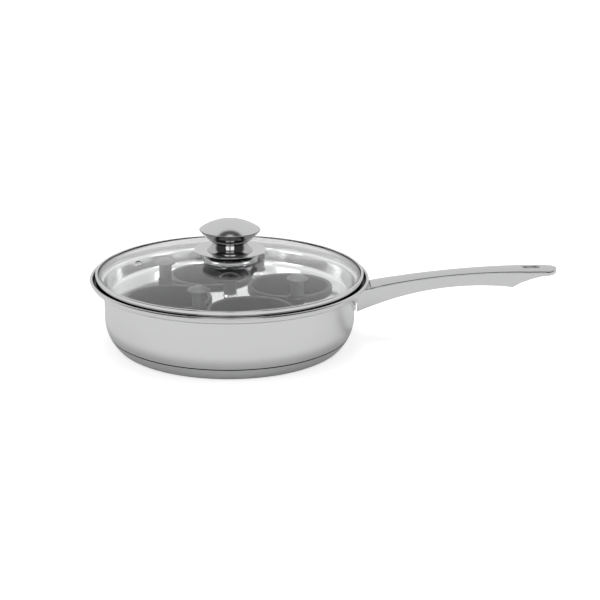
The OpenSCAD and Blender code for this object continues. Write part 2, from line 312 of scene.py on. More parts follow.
print("node groups so far", len(bpy.data.node_groups))

# %% [markdown]
# Steel, glass, plastic and coating differ in how they reflect. All the metals share one small group that
# draws fine circular brushing from the distance to the axis, because a pan is polished while it spins. Its
# outputs are a height and a roughness that vary, and each material keeps its own shader. A second group
# gives moulded plastic and sprayed coating their grain, and a third marks the two places on the pan's wall
# that are dark for want of light: the seam over the base and the groove round the lid.

# %% Shared effects
def brushing_group():
    """Fine rings round the axis, with slow cloudy changes of polish."""
    tree, given, result = group_with(
        "ring_brushing",
        [("Rings per m", 9000.0), ("Stretch", 60.0), ("Roughness", 0.16), ("Change", 0.05)],
        ["Height", "Roughness"])
    number = number_maker(tree)
    place, at, reach = round_the_axis(tree)
    turn = number("ARCTAN2", at["Y"], at["X"])
    around = tree.nodes.new("ShaderNodeCombineXYZ")
    tree.links.new(number("MULTIPLY", reach, given["Rings per m"]), around.inputs["X"])
    tree.links.new(number("MULTIPLY", at["Z"], given["Rings per m"]), around.inputs["Y"])
    tree.links.new(number("MULTIPLY", turn, given["Stretch"]), around.inputs["Z"])
    lines = noise(tree, around.outputs[0], 1.0)
    clouds = noise(tree, place, 14.0, 3.0)
    centred = number("SUBTRACT", number("ADD", lines, clouds), 1.0)
    tree.links.new(lines, result["Height"])
    tree.links.new(number("MULTIPLY_ADD", centred, given["Change"], given["Roughness"]), result["Roughness"])
    return tree


def grain_group():
    """Fine pebbled grain of moulded plastic and of sprayed coating."""
    tree, given, result = group_with(
        "fine_grain", [("Size per m", 2500.0), ("Roughness", 0.4), ("Change", 0.1)],
        ["Height", "Roughness", "Speckle"])
    number = number_maker(tree)
    place = tree.nodes.new("ShaderNodeTexCoord").outputs["Object"]
    grain = noise(tree, place, given["Size per m"], 3.0)
    patches = noise(tree, place, 30.0)
    tree.links.new(grain, result["Height"])
    tree.links.new(number("MULTIPLY_ADD", patches, given["Change"], given["Roughness"]), result["Roughness"])
    tree.links.new(grain, result["Speckle"])
    return tree


def seam_group():
    """1 on the wall's seam line and down in the groove round the lid, 0 elsewhere."""
    tree, given, result = group_with(
        "seam_shade", [("Seam height", 0.0113), ("Seam width", 0.0011), ("Groove from", 0.1215),
                       ("Groove to", 0.1243), ("Groove top", 0.0622), ("Groove floor", 0.0570)], ["Shade"])
    number = number_maker(tree)
    _, at, reach = round_the_axis(tree)
    off = number("ABSOLUTE", number("SUBTRACT", at["Z"], given["Seam height"]))
    seam = number("LESS_THAN", number("MULTIPLY", off, 2.0), given["Seam width"])
    wide = number("MULTIPLY", number("GREATER_THAN", reach, given["Groove from"]),
                  number("LESS_THAN", reach, given["Groove to"]))
    tall = number("MULTIPLY", number("GREATER_THAN", at["Z"], given["Groove floor"]),
                  number("LESS_THAN", at["Z"], given["Groove top"]))
    tree.links.new(number("MAXIMUM", seam, number("MULTIPLY", wide, tall)), result["Shade"])
    return tree


BRUSHING = brushing_group()
SEAM = seam_group()
GRAIN = grain_group()
print("node groups", [group.name for group in bpy.data.node_groups])

# %% [markdown]
# Each finish is one function of the Principled shader. Steel is a plain metal whose colour and roughness
# come from the brushing, and its bump is far under a micron deep, since a deeper one would blur the studio
# in it. The cups are dark and half dull, the small knobs a little lighter, and the glass is clear.

# %% Finishes
STEEL_LOW = (0.94, 0.945, 0.955)
STEEL_HIGH = 1.04
SEAM_DARK = (0.012, 0.012, 0.013)


def new_material(name):
    material = bpy.data.materials.new(name)
    material.use_nodes = True
    return material, material.node_tree, material.node_tree.nodes["Principled BSDF"].inputs


def use_group(tree, group, values):
    """Places a shared effect in a material, with its own values."""
    node = tree.nodes.new("ShaderNodeGroup")
    node.node_tree = group
    for label, value in values.items():
        node.inputs[label].default_value = value
    return node.outputs


def add_bump(tree, shader, height, distance):
    bump = tree.nodes.new("ShaderNodeBump")
    bump.inputs["Distance"].default_value = distance
    bump.inputs["Strength"].default_value = 1.0
    tree.links.new(height, bump.inputs["Height"])
    tree.links.new(bump.outputs["Normal"], shader["Normal"])


def steel(name, tone, roughness, change, rings=9000.0, depth=2e-7, seams=False):
    """Stainless steel: a metal whose polish varies in fine rings."""
    material, tree, shader = new_material(name)
    shader["Metallic"].default_value = 1.0
    polish = use_group(tree, BRUSHING, {"Rings per m": rings, "Roughness": roughness, "Change": change})
    low = tuple(tone * part for part in STEEL_LOW)
    high = (min(1, tone * STEEL_HIGH),) * 3
    colour = mix_colours(tree, polish["Height"], low, high)
    if seams:
        colour = mix_colours(tree, use_group(tree, SEAM, {})["Shade"], colour, SEAM_DARK)
    tree.links.new(colour, shader["Base Color"])
    tree.links.new(polish["Roughness"], shader["Roughness"])
    add_bump(tree, shader, polish["Height"], depth)
    return material


def coated(name, dark, light, roughness, change, size, depth):
    """Plastic or non-stick coating: a dark body with fine grain."""
    material, tree, shader = new_material(name)
    grain = use_group(tree, GRAIN, {"Size per m": size, "Roughness": roughness, "Change": change})
    tree.links.new(mix_colours(tree, grain["Speckle"], dark, light), shader["Base Color"])
    tree.links.new(grain["Roughness"], shader["Roughness"])
    add_bump(tree, shader, grain["Height"], depth)
    return material


def clear_glass(name):
    """Tempered glass: clear, with a very slight waviness in its polish."""
    material, tree, shader = new_material(name)
    shader["Transmission Weight"].default_value = 1.0
    shader["IOR"].default_value = 1.50
    waves = noise(tree, tree.nodes.new("ShaderNodeTexCoord").outputs["Object"], 9.0)
    colour = mix_colours(tree, waves, (0.985, 0.990, 0.988), (0.995, 0.998, 0.997))
    tree.links.new(colour, shader["Base Color"])
    tree.links.new(number_maker(tree)("MULTIPLY", waves, 0.012), shader["Roughness"])
    return material


WALL_STEEL = steel("wall_steel", 0.80, 0.22, 0.05, seams=True)
# Painted reflection: the knob's foot and backplate are the same polished steel as the trim, given a darker
# tone to stand in for the dark surroundings that they mirror.
KNOB_STEEL_PAINTED_DARKER = steel("knob_steel_painted_darker", 0.60, 0.04, 0.02, rings=12000.0, depth=2e-8)
# Painted reflection: the knob's bowl is the same polished steel, given a far darker tone to stand in for the
# black that it mirrors under the cap.
BOWL_STEEL_PAINTED_DARK = steel("bowl_steel_painted_dark", 0.30, 0.05, 0.02, rings=12000.0, depth=2e-8)
TRIM_STEEL = steel("trim_steel", 0.80, 0.05, 0.03, rings=12000.0, depth=3e-8)
HANDLE_STEEL = steel("handle_steel", 0.74, 0.12, 0.04, rings=5000.0, depth=5e-8)
TRAY_STEEL = steel("tray_steel", 0.86, 0.12, 0.04)
CAP_STEEL = steel("cap_steel", 0.80, 0.17, 0.04, rings=15000.0)
CORE_METAL = steel("core_metal", 0.70, 0.38, 0.08, rings=2500.0, depth=1e-6)
NONSTICK = coated("nonstick", (0.050, 0.051, 0.054), (0.085, 0.086, 0.090), 0.34, 0.10, 3200.0, 4e-6)
KNOB_PLASTIC = coated("knob_plastic", (0.085, 0.086, 0.090), (0.12, 0.121, 0.125), 0.30, 0.10, 2600.0, 3e-6)
SEAL_RUBBER = coated("seal_rubber", (0.020, 0.020, 0.022), (0.035, 0.035, 0.037), 0.55, 0.12, 2000.0, 4e-6)
GLASS = clear_glass("lid_clear_glass")
print("materials", len(bpy.data.materials))

# %% [markdown]
# A finished piece gets its material, rides on the body that carries it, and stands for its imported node.

# %% Dressing
def dress(obj, material, body, replaced):
    """Gives a finished piece its material, its body and the CAD node that it stands for."""
    obj.data.materials.clear()
    obj.data.materials.append(material)
    for face in obj.data.polygons:
        face.material_index = 0
    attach(obj, body)
    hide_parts(replaced)
    print(obj.name, len(obj.data.polygons), "faces")
    return obj


# %% [markdown]
# The pan is pressed from one sheet: a flat floor, a wall with a wide rounded corner, a ledge for the tray
# and the lid, and a rolled rim. Low down it steps in, and the base's second skin sits flush in that step,
# over an aluminium disc. The thin shadow line low on the wall is where that skin ends.

# %% Pan body
WALL_R = 114.6
WALL_T = 1.2
CORNER_R = 36.0
CORNER_C = WALL_R - CORNER_R
CORNER_Z = 26.0
SEAM_Z = 11.5
STEP_IN = 1.5
FLOOR_Z = 7.9
SHOULDER = (117.6, 53.3)
SHOULDER_R = 3.0
RISER = (122.2, 59.5)
RISER_R = 2.0
BEAD = (125.6, 61.6)
BEAD_R = 1.4


def wall_arc(inset, z_from, z_to, steps):
    """Points on the rounded lower wall, moved inwards by inset."""
    r = CORNER_R - inset
    start = degrees(asin(max(-1, (z_from - CORNER_Z) / r)))
    end = degrees(asin(min(0, (z_to - CORNER_Z) / r)))
    return arc(CORNER_C, CORNER_Z, r, start, end, steps)


def wall_radius(z):
    """The wall's outer radius at a height in its rounded corner."""
    return CORNER_C + sqrt(CORNER_R ** 2 - (CORNER_Z - z) ** 2)


def pan_profile():
    """Out along the floor's underside, up the wall, round the rolled rim and back down the inside."""
    outline = [(0, FLOOR_Z - WALL_T)]
    outline += wall_arc(STEP_IN, FLOOR_Z - WALL_T, SEAM_Z - 0.02, 4)
    outline += [(wall_radius(SEAM_Z), SEAM_Z, 0.25)]
    outline += wall_arc(0, SEAM_Z + 0.6, CORNER_Z, 28)
    outline += arc(*SHOULDER, SHOULDER_R, 180, 90, 10)
    outline += arc(*RISER, RISER_R + WALL_T, 270, 345, 8)
    outline += arc(*BEAD, BEAD_R, -95, 200, 30)
    outline += arc(*RISER, RISER_R, 0, -90, 8)
    outline += arc(*SHOULDER, SHOULDER_R + WALL_T, 90, 180, 12)
    outline += wall_arc(WALL_T, SEAM_Z + 1.4, CORNER_Z, 28)[::-1]
    outline += wall_arc(STEP_IN + WALL_T, FLOOR_Z, SEAM_Z + 1.1, 6)[::-1]
    outline += [(0, FLOOR_Z)]
    return outline


pan_body = turned("pan_body_vis", pan_profile(), segments=360)
dress(pan_body, WALL_STEEL, "pan", "pan_body")

# %% [markdown]
# The base's outer skin is a shallow dish, turned like the pan. Its edge is rounded a little, and so is the
# pan's edge above it, so the seam between them shows as a line with a soft upper and lower lip.

# %% Base cap
CAP_EDGE_Z = SEAM_Z - 0.5


def cap_profile():
    bottom_r = wall_radius(0)
    outline = [(0, 0)]
    outline += [(bottom_r - 1.2, 0), (bottom_r - 0.4, 0.12), (bottom_r + 0.15, 0.55)]
    outline += wall_arc(0, 0.9, SEAM_Z - 1.0, 14)
    outline += [(wall_radius(CAP_EDGE_Z), CAP_EDGE_Z, 0.3)]
    outline += wall_arc(WALL_T, WALL_T, CAP_EDGE_Z, 12)[::-1]
    outline += [(0, WALL_T)]
    return outline


base_cap = turned("base_cap_vis", cap_profile(), segments=360)
dress(base_cap, WALL_STEEL, "pan", "base_cap")

# %% [markdown]
# The handle is a channel, open underneath, pressed and polished so that its top is slightly crowned and its
# edges are soft. It is lofted: one cross-section is drawn at many places along its length, and each takes
# its width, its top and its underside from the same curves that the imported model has.

# %% Handle curves
HANDLE_START = 116.3
HANDLE_END = 301.5
HANDLE_WALL = 2.4
END_R = 12.6
END_X = HANDLE_END - END_R
SLOT_X = HANDLE_END - 24.0
CHANNEL_R = END_R - HANDLE_WALL
CHANNEL_X = SLOT_X - CHANNEL_R
TOP_Z, TOP_X, TOP_R = 69.0, 285.0, 840.0
UNDER_Z, UNDER_X, UNDER_R = 54.3, 232.0, 290.0
UNDER_LOWEST = 28.5
TIP_X = 259.0
TIP_MARKS = [(TIP_X, 52.5), (267, 57.2), (276, 60.8), (286, 63.4), (302.5, 64.4)]
ROOT_HALF, ROOT_TO_X = 13.0, 180.0
WAIST_HALF, WAIST_X, WAIST_R = 10.2, 205.0, 1000.0
CROWN_R = 60.0
CROWN_T = 3.2


def handle_top(x):
    return TOP_Z - TOP_R + sqrt(TOP_R ** 2 - (x - TOP_X) ** 2)


def handle_under(x):
    """An arch as far as the tip, and then straight stretches between marks."""
    if x <= TIP_X:
        return max(UNDER_LOWEST, UNDER_Z - UNDER_R + sqrt(UNDER_R ** 2 - (x - UNDER_X) ** 2))
    for (x0, z0), (x1, z1) in zip(TIP_MARKS, TIP_MARKS[1:]):
        if x <= x1:
            return z0 + (z1 - z0) * (x - x0) / (x1 - x0)
    return TIP_MARKS[-1][1]


def handle_half(x):
    """Half the handle's width: waisted at the grip and round at the end."""
    waisted = WAIST_HALF + WAIST_R - sqrt(WAIST_R ** 2 - (x - WAIST_X) ** 2)
    half = min(ROOT_HALF if x < ROOT_TO_X else END_R, waisted)
    if x > END_X:
        half = min(half, sqrt(max(0.0, END_R ** 2 - (x - END_X) ** 2)))
    return half


def channel_half(x):
    """Half the channel's width; it ends round, at the hanging slot's middle."""
    half = max(0.0, handle_half(x) - HANDLE_WALL)
    if x > CHANNEL_X:
        half = min(half, sqrt(max(0.0, CHANNEL_R ** 2 - (x - CHANNEL_X) ** 2)))
    return half


def crown_drop(y):
    return CROWN_R - sqrt(CROWN_R ** 2 - y * y)


for x in (HANDLE_START, WAIST_X, TIP_X, END_X):
    print("handle at", round(x, 1), "half width", round(handle_half(x), 2), "top", round(handle_top(x), 2))

# %% [markdown]
# A section has the same number of points everywhere, so the next section's points join it one for one. The
# sections stand closer together where the outline turns. The hanging slot, the room for the pan's rolled
# rim and the mouth at the root are cut afterwards, because they don't run along the handle.

# %% Handle
def handle_section(x):
    """Closed loop of (y, z) points: over the top, down one side, through the channel and up the other."""
    half, inner = handle_half(x), channel_half(x)
    top, under = handle_top(x), handle_under(x)
    soft = min(1.1, 0.45 * half, 0.4 * (top - under))
    lip = min(0.5, 0.2 * (top - under), 0.3 * max(half - inner, 0.0))
    corner_top = top - crown_drop(half)
    lift = crown_drop(half) - crown_drop(half - soft)
    left = arc(soft - half, corner_top - soft, soft, 180, 90, 6)
    right = arc(half - soft, corner_top - soft, soft, 90, 0, 6)
    left[-1] = (left[-1][0], left[-1][1] + lift)
    right[0] = (right[0][0], right[0][1] + lift)
    crown = []
    for k in range(1, 16):
        y = soft - half + 2 * (half - soft) * k / 16
        crown.append((y, top - crown_drop(y)))
    right_lip = arc(half - lip, under + lip, lip, 0, -90, 4)
    left_lip = arc(lip - half, under + lip, lip, 270, 180, 4)
    ceiling = max(under, top - CROWN_T) if inner > 1e-4 else under
    channel = [(inner, under), (inner, ceiling), (0.0, ceiling), (-inner, ceiling), (-inner, under)]
    return left + crown + right + right_lip + channel + left_lip


def handle_stations():
    """Places along the handle, in mm, closer together where its outline turns."""
    stations = [HANDLE_START, HANDLE_START + 1.2]
    stations += [x for x in (120.0 + 2.5 * k for k in range(66)) if x < TIP_X - 2]
    stations += [TIP_X - 2, TIP_X - 1, TIP_X - 0.1, TIP_X + 0.1, TIP_X + 1, 262, 264, 266, CHANNEL_X]
    stations += [CHANNEL_X + CHANNEL_R * sin(radians(90 * k / 12)) for k in range(1, 12)]
    stations += [SLOT_X - 0.05, SLOT_X + 0.05, 280, 283, 286, END_X]
    stations += [END_X + END_R * sin(radians(90 * k / 18)) for k in range(1, 18)]
    stations += [HANDLE_END - 0.01]
    return sorted(set(round(x, 4) for x in stations))


def make_handle():
    bm = bmesh.new()
    rows = []
    for x in handle_stations():
        rows.append([bm.verts.new((x * MM, y * MM, z * MM)) for y, z in handle_section(x)])
    for low, high in zip(rows, rows[1:]):
        count = len(low)
        for k in range(count):
            n = (k + 1) % count
            bm.faces.new((low[k], low[n], high[n], high[k]))
    bm.faces.new(rows[0][::-1])
    bm.faces.new(rows[-1])
    bmesh.ops.remove_doubles(bm, verts=bm.verts, dist=1e-6)
    bmesh.ops.dissolve_degenerate(bm, edges=bm.edges, dist=1e-7)
    bmesh.ops.recalc_face_normals(bm, faces=bm.faces)
    return as_object("handle_vis", bm)


SLOT_R = 3.75
SLOT_STRAIGHT = 9.5
RIM_ROOM_R = 128.2
RIM_ROOM_Z = 52.3


def slot_cutter():
    """A long hole with round ends, as one prism."""
    around = []
    for side, start in ((1, -90), (-1, 90)):
        around += arc(SLOT_X + side * SLOT_STRAIGHT / 2, 0.0, SLOT_R, start, start + 180, 16)
    return prism("slot", [(x, y, 50) for x, y in around], [(x, y, 80) for x, y in around])


handle_vis = make_handle()
cut(handle_vis, [slot_cutter(), cylinder_between("rim_room", RIM_ROOM_R, RIM_ROOM_Z, 90, segments=256),
                 block("mouth", (110, -10.6, 30), (129, 10.6, 60))])
dress(handle_vis, HANDLE_STEEL, "pan", "handle")

# %% [markdown]
# The tray is a thin disc with an upstand that folds over the pan's ledge. It is turned, and its four round
# holes for the cups, and a small one for the knob's screw, are cut on one ring with a boolean.

# %% Tray
TRAY_Z = 42.5
TRAY_T = 0.8
TRAY_R = 111.8
TRAY_BEND = 4.0
LEDGE_Z = 57.5
FOLD = (116.1, 54.5)
FOLD_R = 3.0
TRAY_EDGE_R = 121.0
HOLE_R = 37.3
CUP_RING = 58.6
CUP_TURN = 18.5
SCREW_R = 2.05


def tray_profile():
    bend = (TRAY_R - TRAY_BEND - TRAY_T, TRAY_Z + TRAY_BEND)
    outline = [(0, TRAY_Z - TRAY_T)]
    outline += arc(*bend, TRAY_BEND + TRAY_T, -90, 0, 10)
    outline += [(FOLD[0] - FOLD_R, FOLD[1])]
    outline += arc(*FOLD, FOLD_R, 180, 90, 8)
    outline += [(TRAY_EDGE_R, LEDGE_Z, 0.2), (TRAY_EDGE_R, LEDGE_Z + TRAY_T, 0.2)]
    outline += arc(*FOLD, FOLD_R + TRAY_T, 90, 180, 8)
    outline += arc(*bend, TRAY_BEND, 0, -90, 10)
    outline += [(0, TRAY_Z)]
    return outline


tray_vis = turned("tray_vis", tray_profile(), segments=256)
holes = []
for k in range(4):
    a = radians(CUP_TURN + 90 * k)
    holes.append(cylinder_between("hole", HOLE_R, 30, 60, CUP_RING * cos(a), CUP_RING * sin(a)))
holes.append(cylinder_between("hole", SCREW_R, 30, 60))
cut(tray_vis, holes)
dress(tray_vis, TRAY_STEEL, "tray_unit", "tray")

# %% [markdown]
# Every cup is the same: a round bowl with a flat rim turned down to stand on the tray, an ear that steps up
# from the rim, and a mushroom knob on it. Cup and knob are modelled once, about the cup's own axis. The
# bowl is turned, and the ear, which isn't round, is joined to it with a boolean.

# %% Cup and knob
CUP_Z = 46.1
CUP_T = 1.2
CUP_IN = 35.4
CUP_R = 39.4
CUP_BEND = 10.0
CUP_FLOOR = CUP_Z - 27.0
EAR_TURN = -103.0
EAR_REACH = 46.0
EAR_HALF = 7.0
EAR_Z = CUP_Z + 3.6
KNOB_H = 18.6
KNOB_CAP_H = 3.4


def cup_profile():
    bend = (CUP_IN - CUP_BEND, CUP_FLOOR + CUP_BEND)
    outline = [(0, CUP_FLOOR - CUP_T)]
    outline += arc(*bend, CUP_BEND + CUP_T, -90, 0, 14)
    outline += [(CUP_IN + CUP_T, CUP_Z - CUP_T, 0.5), (CUP_R - CUP_T, CUP_Z - CUP_T, 0.6)]
    outline += [(CUP_R - CUP_T, TRAY_Z, 0.3), (CUP_R, TRAY_Z, 0.3), (CUP_R, CUP_Z, 1.4)]
    outline += [(CUP_IN, CUP_Z, 1.3)]
    outline += arc(*bend, CUP_BEND, 0, -90, 14)
    outline += [(0, CUP_FLOOR)]
    return outline


def make_ear():
    """The knob's ear along +X: a strip that steps up from the rim and ends round."""
    side = [(CUP_R - 0.7, CUP_Z - 0.3), (CUP_R + 0.7, EAR_Z - 0.05), (EAR_REACH, EAR_Z),
            (EAR_REACH, EAR_Z - CUP_T), (CUP_R + 2.0, EAR_Z - CUP_T), (CUP_R + 0.6, CUP_Z - CUP_T - 0.5),
            (CUP_R - 0.7, CUP_Z - CUP_T - 0.5)]
    ear = prism("ear", [(x, -EAR_HALF, z) for x, z in side], [(x, EAR_HALF, z) for x, z in side])
    disc = cylinder_between("disc", EAR_HALF, EAR_Z - CUP_T, EAR_Z, EAR_REACH, 0, segments=64)
    return cut(ear, [disc], "UNION")


def make_cup():
    cup = turned("cup_pattern", cup_profile())
    ear = make_ear()
    for v in ear.data.vertices:
        v.co = Matrix.Rotation(radians(EAR_TURN), 3, "Z") @ v.co
    return cut(cup, [ear], "UNION")


def knob_outline(z, cap_r=9.8, stem_r=5.9):
    """A mushroom knob that stands at height z: a stem under a shallow domed cap, bored for its screw."""
    rim = z + KNOB_H - KNOB_CAP_H
    dome = (cap_r ** 2 + KNOB_CAP_H ** 2) / (2 * KNOB_CAP_H)
    outline = [(0, z + 10), (SCREW_R, z + 10), (SCREW_R, z), (stem_r, z, 0.4), (stem_r, rim - 2.2, 0.6)]
    outline += [(cap_r - 0.2, rim - 0.9, 0.3), (cap_r, rim - 0.1, 0.3)]
    for k in range(1, 13):
        r = cap_r * cos(pi / 2 * k / 12)
        outline.append((r, z + KNOB_H - dome + sqrt(dome ** 2 - r * r)))
    return outline


cup_pattern = make_cup()
knob_pattern = turned("knob_pattern", knob_outline(EAR_Z), segments=96)
ear_turned = Matrix.Rotation(radians(EAR_TURN), 4, "Z") @ Matrix.Translation((EAR_REACH * MM, 0, 0))
knob_pattern.data.transform(ear_turned)
print("cup", len(cup_pattern.data.polygons), "faces, knob", len(knob_pattern.data.polygons), "faces")

# %% [markdown]
# The four cups repeat on a ring, so a Geometry Nodes tree seats them: it instances the piece on one point
# of the ring and turns it to face as the ring does. Four copies could be placed by hand too, but the tree
# keeps the ring's radius in one place. Each cup is lifted by itself, so each comes out as its own mesh.

# %% Seat the cups
def seating_tree():
    """Instances the piece on one point of the cup ring, turned to that cup's angle."""
    tree = bpy.data.node_groups.new("seat_on_ring", "GeometryNodeTree")
    for label, kind in (("Piece", "Geometry"), ("Ring radius", "Float"), ("Turn", "Float"),
                        ("Finish", "Material")):
        tree.interface.new_socket(name=label, in_out="INPUT", socket_type="NodeSocket" + kind)
    tree.interface.new_socket(name="Result", in_out="OUTPUT", socket_type="NodeSocketGeometry")
    add, link = tree.nodes.new, tree.links.new
    number = number_maker(tree)
    given, result = add("NodeGroupInput").outputs, add("NodeGroupOutput").inputs
    place = add("ShaderNodeCombineXYZ")
    for operation, axis in (("COSINE", "X"), ("SINE", "Y")):
        link(number("MULTIPLY", number(operation, given["Turn"]), given["Ring radius"]), place.inputs[axis])
    turn = add("ShaderNodeCombineXYZ")
    link(given["Turn"], turn.inputs["Z"])
    point = add("GeometryNodePoints")
    point.inputs["Count"].default_value = 1
    link(place.outputs[0], point.inputs["Position"])
    copies = add("GeometryNodeInstanceOnPoints")
    link(point.outputs[0], copies.inputs["Points"])
    link(given["Piece"], copies.inputs["Instance"])
    link(turn.outputs[0], copies.inputs["Rotation"])
    real = add("GeometryNodeRealizeInstances")
    link(copies.outputs[0], real.inputs[0])
    finish = add("GeometryNodeSetMaterial")
    link(real.outputs[0], finish.inputs["Geometry"])
    link(given["Finish"], finish.inputs["Material"])
    link(finish.outputs[0], result["Result"])
    return tree


SEATING = seating_tree()
SOCKET = {item.name: item.identifier for item in SEATING.interface.items_tree if item.in_out == "INPUT"}


def seat(pattern, name, index, material, body, replaced):
    obj = bpy.data.objects.new(name, pattern.data.copy())
    bpy.context.scene.collection.objects.link(obj)
    step = obj.modifiers.new("seat", "NODES")
    step.node_group = SEATING
    step[SOCKET["Ring radius"]] = CUP_RING * MM
    step[SOCKET["Turn"]] = radians(CUP_TURN + 90 * index)
    step[SOCKET["Finish"]] = material
    apply_modifiers(obj)
    return dress(obj, material, body, replaced)


for k in range(4):
    body = "cup_unit_%d" % (k + 1)
    seat(cup_pattern, "cup_%d_vis" % (k + 1), k, NONSTICK, body, "cup_%d" % (k + 1))
    seat(knob_pattern, "cup_knob_%d_vis" % (k + 1), k, KNOB_PLASTIC, body, "cup_knob_%d" % (k + 1))
bpy.data.objects.remove(cup_pattern, do_unlink=True)
bpy.data.objects.remove(knob_pattern, do_unlink=True)

# %% [markdown]
# The tray's own knob is the cups' knob again. It stands in the middle, on a washer.

# %% Tray knob
WASHER_T = 1.2

tray_knob = turned("tray_knob_vis", knob_outline(TRAY_Z + WASHER_T), segments=96)
dress(tray_knob, KNOB_PLASTIC, "tray_unit", "tray_knob")

# %% [markdown]
# The lid is a shallow dome of 4 mm tempered glass in a steel band, with an eyelet for the steam. Glass
# must be a closed shell with two surfaces, or light doesn't bend through it as it should.

# %% Glass lid
CROWN_Z = 84.5
DOME_R = 394.75
DOME_C = CROWN_Z - DOME_R
GLASS_T = 4.0
GLASS_R = 120.8
BORE_R = 4.5
VENT_R = 83.2
VENT_TURN = 183.0


def dome_z(r, below=0.0):
    """The dome's height at a radius, on its top or a depth below it."""
    return DOME_C + sqrt((DOME_R - below) ** 2 - r * r)


def glass_profile():
    """Along the top, round the edge and back along the underside."""
    steps = 40
    radii = [BORE_R + (GLASS_R - 0.8 - BORE_R) * k / steps for k in range(steps + 1)]
    outline = [(r, dome_z(r)) for r in radii]
    outline += [(GLASS_R - 0.2, dome_z(GLASS_R) - 0.5), (GLASS_R, dome_z(GLASS_R) - 1.4)]
    outline += [(GLASS_R, dome_z(GLASS_R, GLASS_T) + 1.2)]
    return outline + [(r, dome_z(r, GLASS_T)) for r in radii[::-1]]


def at_vent(mesh):
    """Moves a mesh modelled about the dome's top at the origin to the vent, tilted with the glass."""
    tilt = asin(VENT_R / DOME_R)
    mesh.transform(Matrix.Translation((0, 0, DOME_C * MM)) @ Matrix.Rotation(radians(VENT_TURN), 4, "Z")
                   @ Matrix.Rotation(tilt, 4, "Y") @ Matrix.Translation((0, 0, DOME_R * MM)))


lid_glass = turned("lid_glass_vis", glass_profile(), segments=256)
vent_hole = cylinder_between("vent_hole", 3.4, -12, 6, segments=64)
at_vent(vent_hole.data)
cut(lid_glass, [vent_hole])
dress(lid_glass, GLASS, "lid", "lid_glass")

# %% [markdown]
# The band is rolled from thin strip: it runs under the glass's edge, up its side and over its top. The
# eyelet is a small rivet with a flange on each face of the glass.

# %% Band and eyelet
LID_R = 122.0
BAND_Z = 58.3
BAND_TOP = 67.1
BAND_T = 1.0
BAND_FOOT_R = LID_R - 6
BAND_LIP_R = LID_R - 2.2
BAND_LIP_T = 0.8

lid_band = turned("lid_band_vis", [
    (BAND_FOOT_R, BAND_Z, 0.2), (LID_R, BAND_Z, 0.4), (LID_R, BAND_TOP, 0.7), (BAND_LIP_R, BAND_TOP, 0.3),
    (BAND_LIP_R, BAND_TOP - BAND_LIP_T, 0.2), (LID_R - BAND_T, BAND_TOP - BAND_LIP_T, 0.1),
    (LID_R - BAND_T, BAND_Z + BAND_T, 0.2), (BAND_FOOT_R, BAND_Z + BAND_T, 0.2)], segments=360)
dress(lid_band, TRIM_STEEL, "lid", "lid_band")

eyelet = turned("vent_eyelet_vis", [
    (2.3, -4.8, 0.15), (4.7, -4.8, 0.2), (4.7, -4.15, 0.2), (3.3, -4.15), (3.3, 0.08), (4.7, 0.08, 0.2),
    (4.6, 0.5, 0.3), (3.6, 0.82, 0.3), (2.3, 0.7, 0.3)], segments=72)
at_vent(eyelet.data)
dress(eyelet, TRIM_STEEL, "lid", "vent_eyelet")

# %% [markdown]
# The lid's knob is four pressed and turned shells: a flared foot with a narrow neck, a bowl that opens
# out above it, a domed cap, and a thin saucer that spreads the load on the glass. The cap and the bowl
# meet at a thin edge, which is what makes the knob look light.

# %% Knob cap and bowl
FOOT_Z = 86.0
NECK_Z = FOOT_Z + 7.4
EDGE_Z = FOOT_Z + 19.6
CAP_R = 27.7
CAP_RISE = 9.0
CAP_T = 1.2
SHANK_R = 3.05


def cap_profile_of_knob():
    """The dome's outside from its edge to its top, and its inside back down."""
    dome = (CAP_R ** 2 + CAP_RISE ** 2) / (2 * CAP_RISE)
    centre = EDGE_Z + CAP_RISE - dome
    widest = asin((CAP_R - 0.3) / dome)
    outline = []
    for k in range(33):
        turn = widest * (32 - k) / 32
        outline.append((dome * sin(turn), centre + dome * cos(turn)))
    thin = dome - CAP_T
    inner = acos(min(1.0, (EDGE_Z - centre) / thin))
    for k in range(25):
        turn = inner * k / 24
        outline.append((thin * sin(turn), centre + thin * cos(turn)))
    outline += [(CAP_R - 0.3, EDGE_Z, 0.1)]
    return outline


knob_cap = turned("knob_cap_vis", cap_profile_of_knob(), segments=256)
dress(knob_cap, CAP_STEEL, "lid", "knob_cap")

knob_bowl = turned("knob_bowl_vis", [
    (SHANK_R, NECK_Z), (15.8, NECK_Z, 0.2), (19.0, NECK_Z + 2.6, 2.0), (CAP_R - 3.4, EDGE_Z - 4.6, 3.0),
    (CAP_R - 0.6, EDGE_Z - 1.2, 0.5), (CAP_R, EDGE_Z - 0.5, 0.2), (CAP_R, EDGE_Z - 0.05, 0.1),
    (CAP_R - 1.4, EDGE_Z - 0.05, 0.1), (17.0, NECK_Z + 6.2, 0.5), (SHANK_R, NECK_Z + 6)], segments=256)
# The bowl's dark steel tone is painted dark reflection.
dress(knob_bowl, BOWL_STEEL_PAINTED_DARK, "lid", "knob_bowl")

# %% [markdown]
# The foot's side is hollow, part of a circle that curves in to the neck. The saucer is pressed thin, and
# the backplate under the glass has a round edge, because a hand meets it when the lid is washed.

# %% Knob foot, saucer and backplate
SAUCER_Z = 85.3
SAUCER_T = 0.7
FOOT_R = 20.9
FOOT_HOLLOW = (27.0, NECK_Z + 2.6)
FOOT_HOLLOW_R = 11.4
BACKPLATE_H = 8.0


